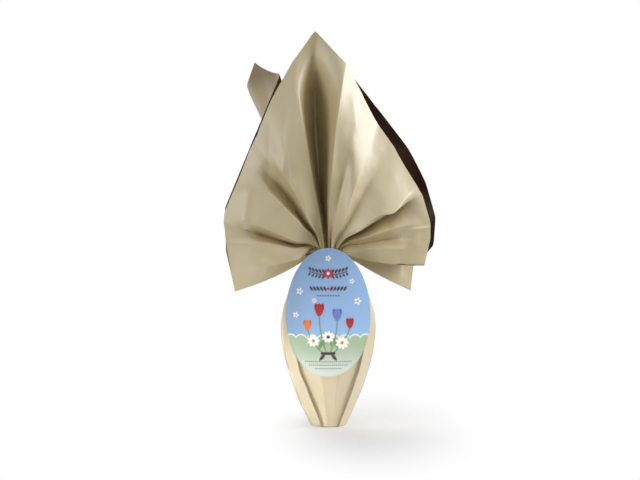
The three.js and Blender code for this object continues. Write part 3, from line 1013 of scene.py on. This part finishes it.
def brown_lining():
    """The paper's inside: dark brown laminate, smooth and a little glossy."""
    material, tree = new_material("brown laminated lining")
    place = node(tree, "ShaderNodeTexCoord").outputs["Object"]
    cloud = node(tree, "ShaderNodeTexNoise", {"Scale": pattern_scale(LINING_CLOUD), "Detail": 3.0},
                 {"Vector": place})
    tone = node(tree, "ShaderNodeMix", {"A": linear("#3b2418"), "B": linear("#4c2f20")},
                {"Factor": cloud.outputs["Fac"]}, data_type="RGBA")
    bump = node(tree, "ShaderNodeBump", {"Strength": 0.2, "Distance": MM}, {"Height": cloud.outputs["Fac"]})
    set_surface(tree, {"Roughness": 0.35}, tone.outputs["Result"], bump)
    return material


def printed_card():
    """Coated card with an offset print, under a satin varnish."""
    material, tree = new_material("varnished card print")
    ink = node(tree, "ShaderNodeAttribute", attribute_name="print")
    place = node(tree, "ShaderNodeTexCoord").outputs["Object"]
    grain = node(tree, "ShaderNodeTexNoise", {"Scale": pattern_scale(VARNISH_GRAIN), "Detail": 2.0},
                 {"Vector": place})
    bump = node(tree, "ShaderNodeBump", {"Strength": 0.05, "Distance": 0.1 * MM},
                {"Height": grain.outputs["Fac"]})
    set_surface(tree, {"Roughness": 0.4}, ink.outputs["Color"], bump)
    return material


def bare_card():
    """Uncoated white board, on the card's back and cut edge."""
    material, tree = new_material("uncoated white board")
    place = node(tree, "ShaderNodeTexCoord").outputs["Object"]
    fibre = node(tree, "ShaderNodeTexNoise", {"Scale": pattern_scale(BOARD_FIBRE), "Detail": 3.0},
                 {"Vector": place})
    tone = node(tree, "ShaderNodeMix", {"A": linear("#e4e1da"), "B": linear("#f1efea")},
                {"Factor": fibre.outputs["Fac"]}, data_type="RGBA")
    bump = node(tree, "ShaderNodeBump", {"Strength": 0.1, "Distance": 0.1 * MM},
                {"Height": fibre.outputs["Fac"]})
    set_surface(tree, {"Roughness": 0.8}, tone.outputs["Result"], bump)
    return material


def woven_elastic():
    """Brown elastic cord with a braided cover, whose threads show as fine slanted bands."""
    material, tree = new_material("braided brown elastic")
    place = node(tree, "ShaderNodeTexCoord").outputs["Object"]
    scale = pattern_scale(BRAID_THREAD) * WAVE_LENGTH
    braid = node(tree, "ShaderNodeTexWave", {"Scale": scale, "Distortion": 2.0, "Detail": 1.0},
                 {"Vector": place}, bands_direction="DIAGONAL")
    tone = node(tree, "ShaderNodeMix", {"A": linear("#2c1a13"), "B": linear("#4d3226")},
                {"Factor": braid.outputs["Fac"]}, data_type="RGBA")
    bump = node(tree, "ShaderNodeBump", {"Strength": 0.5, "Distance": 0.3 * MM},
                {"Height": braid.outputs["Fac"]})
    set_surface(tree, {"Roughness": 0.7}, tone.outputs["Result"], bump)
    return material


def finish_piece(piece, replaced):
    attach(piece, "root")
    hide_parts(replaced)


# Stage, lights and camera
# Places and sizes are in metres here, and the lens is in millimetres.

CAMERA_DISTANCE = 1.76
CAMERA_ELEVATION = 5.0
CAMERA_LENS = 95.6
CAMERA_AIM = Vector((-0.0083, 0, 0.1929))
# Square lamps: name, place, what it points at, side, watts, colour and spread in degrees.
LAMPS = (
    ("key", (1.24, -0.22, 0.7), (0, 0, 0.25), 0.8, 21, "#f7f8ff", 180),
    ("fill", (-1.25, -0.9, 0.28), (0, 0, 0.22), 0.9, 9.5, "#ffffff", 180),
    ("front", (0.05, -1.3, 1.1), (0, 0, 0.22), 0.8, 4.5, "#ffffff", 180),
    ("low", (0.1, -1.3, 0.12), (0, 0, 0.03), 0.12, 0.02, "#ffffff", 12),
    ("left", (-1.1, -0.55, 0.1), (0, 0, 0.05), 0.12, 0.05, "#ffffff", 12),
    ("top", (0, 0.5, 1.7), (0, 0, 0.1), 0.8, 6, "#ffffff", 180),
)
# The world's light in front and behind, how fast it grows, and its share of that low down.
WORLD_FRONT = 0.22
WORLD_BEHIND = 1.3
WORLD_GROWTH = 3.0
WORLD_LOW_SHARE = 0.12
FLOOR_RADIUS = 0.3
FLOOR_DROP = 0.0001
WIDE_FLOOR_SIZE = 12
WIDE_FLOOR_DROP = 0.0003
BACKDROP_RADIUS = 9
# The oval of floor that shows the shadow: what x and y are multiplied by and moved by, and how far out in
# it the paper starts and ends fading to plain white.
SHADOW_SCALE = (8.0, 3.8, 0)
SHADOW_SHIFT = (-0.4, 0.14, 0)
SHADOW_FADE = (0.2, 0.95)


def build_camera():
    data = bpy.data.cameras.new("camera")
    data.lens = CAMERA_LENS
    data.sensor_width = 36
    camera = bpy.data.objects.new("camera", data)
    bpy.context.scene.collection.objects.link(camera)
    elevation = math.radians(CAMERA_ELEVATION)
    direction = Vector((0, -math.cos(elevation), math.sin(elevation)))
    camera.location = CAMERA_AIM + direction * CAMERA_DISTANCE
    camera.rotation_euler = (-direction).to_track_quat("-Z", "Y").to_euler()
    bpy.context.scene.camera = camera


def build_world():
    world = bpy.data.worlds.new("studio, darker on the camera's side")
    world.use_nodes = True
    tree = world.node_tree
    tree.nodes.clear()
    place = node(tree, "ShaderNodeTexCoord").outputs["Generated"]
    axes = node(tree, "ShaderNodeSeparateXYZ", None, {"Vector": place})
    depth = node(tree, "ShaderNodeMapRange", {"From Min": -1.0, "From Max": 1.0},
                 {"Value": axes.outputs["Y"]})
    curve = node(tree, "ShaderNodeMath", {1: WORLD_GROWTH}, {0: depth.outputs["Result"]}, operation="POWER")
    level = node(tree, "ShaderNodeMapRange", {"To Min": WORLD_FRONT, "To Max": WORLD_BEHIND},
                 {"Value": curve.outputs["Value"]})
    height = node(tree, "ShaderNodeMapRange", {"From Min": -0.3, "From Max": 0.3, "To Min": WORLD_LOW_SHARE},
                  {"Value": axes.outputs["Z"]})
    level = node(tree, "ShaderNodeMath", None, {0: level.outputs["Result"], 1: height.outputs["Result"]},
                 operation="MULTIPLY")
    sky = node(tree, "ShaderNodeBackground", {"Color": linear("#ffffff")},
               {"Strength": level.outputs["Value"]})
    node(tree, "ShaderNodeOutputWorld", None, {"Surface": sky.outputs["Background"]})
    bpy.context.scene.world = world


def build_lamps():
    for name, place, aim, side, watts, colour, spread in LAMPS:
        data = bpy.data.lights.new(name, "AREA")
        data.shape = "RECTANGLE"
        data.size = data.size_y = side
        data.energy = watts
        data.spread = math.radians(spread)
        data.color = linear(colour)[:3]
        lamp = bpy.data.objects.new(name, data)
        lamp.location = place
        lamp.rotation_euler = (Vector(aim) - Vector(place)).to_track_quat("-Z", "Y").to_euler()
        bpy.context.scene.collection.objects.link(lamp)


def shadow_paper():
    """White paper that takes the shadow in an oval, and fades to plain white outside it."""
    material, tree = new_material("white floor that fades to plain white")
    place = node(tree, "ShaderNodeTexCoord").outputs["Object"]
    oval = node(tree, "ShaderNodeVectorMath", {1: SHADOW_SCALE, 2: SHADOW_SHIFT}, {0: place},
                operation="MULTIPLY_ADD")
    reach = node(tree, "ShaderNodeVectorMath", None, {0: oval.outputs["Vector"]}, operation="LENGTH")
    share = node(tree, "ShaderNodeMapRange", {"From Min": SHADOW_FADE[0], "From Max": SHADOW_FADE[1]},
                 {"Value": reach.outputs["Value"]}, interpolation_type="SMOOTHSTEP")
    paper = node(tree, "ShaderNodeBsdfPrincipled", {"Base Color": linear("#dadad9"), "Roughness": 0.9})
    glow = node(tree, "ShaderNodeEmission", {"Color": linear("#ffffff"), "Strength": 1.0})
    shader = node(tree, "ShaderNodeMixShader", None,
                  {"Fac": share.outputs["Result"], 1: paper.outputs["BSDF"], 2: glow.outputs["Emission"]})
    node(tree, "ShaderNodeOutputMaterial", None, {"Surface": shader.outputs["Shader"]})
    return material


def plain_white():
    material, tree = new_material("plain white")
    glow = node(tree, "ShaderNodeEmission", {"Color": linear("#ffffff"), "Strength": 1.0})
    node(tree, "ShaderNodeOutputMaterial", None, {"Surface": glow.outputs["Emission"]})
    return material


def build_stage():
    """A round of white floor for the shadow, on a wide one and inside a sphere that are plain white."""
    deselect_all()
    bpy.ops.mesh.primitive_circle_add(vertices=96, radius=FLOOR_RADIUS, fill_type="NGON",
                                      location=(0, 0, -FLOOR_DROP))
    floor = active()
    name_piece(floor, "floor")
    add_materials(floor, [shadow_paper()])
    deselect_all()
    bpy.ops.mesh.primitive_plane_add(size=WIDE_FLOOR_SIZE, location=(0, 0, -WIDE_FLOOR_DROP))
    wide_floor = active()
    name_piece(wide_floor, "wide_floor")
    deselect_all()
    bpy.ops.mesh.primitive_uv_sphere_add(segments=48, ring_count=24, radius=BACKDROP_RADIUS)
    backdrop = active()
    name_piece(backdrop, "backdrop")
    white = plain_white()
    for plain in (wide_floor, backdrop):
        add_materials(plain, [white])
        plain.visible_diffuse = False
        plain.visible_glossy = False
        plain.visible_transmission = False
        plain.visible_shadow = False


# Putting it together

build_camera()
build_world()
build_lamps()
build_stage()
bpy.context.scene.view_settings.view_transform = "Standard"

paper, lining = pearl_paper(), brown_lining()
finish_piece(build_body([paper]), "wrapped_egg")
finish_piece(build_flare([paper, lining]), "wrapped_egg")
finish_piece(build_card([printed_card(), bare_card()]), "card")
finish_piece(build_tie([woven_elastic()]), "tie")
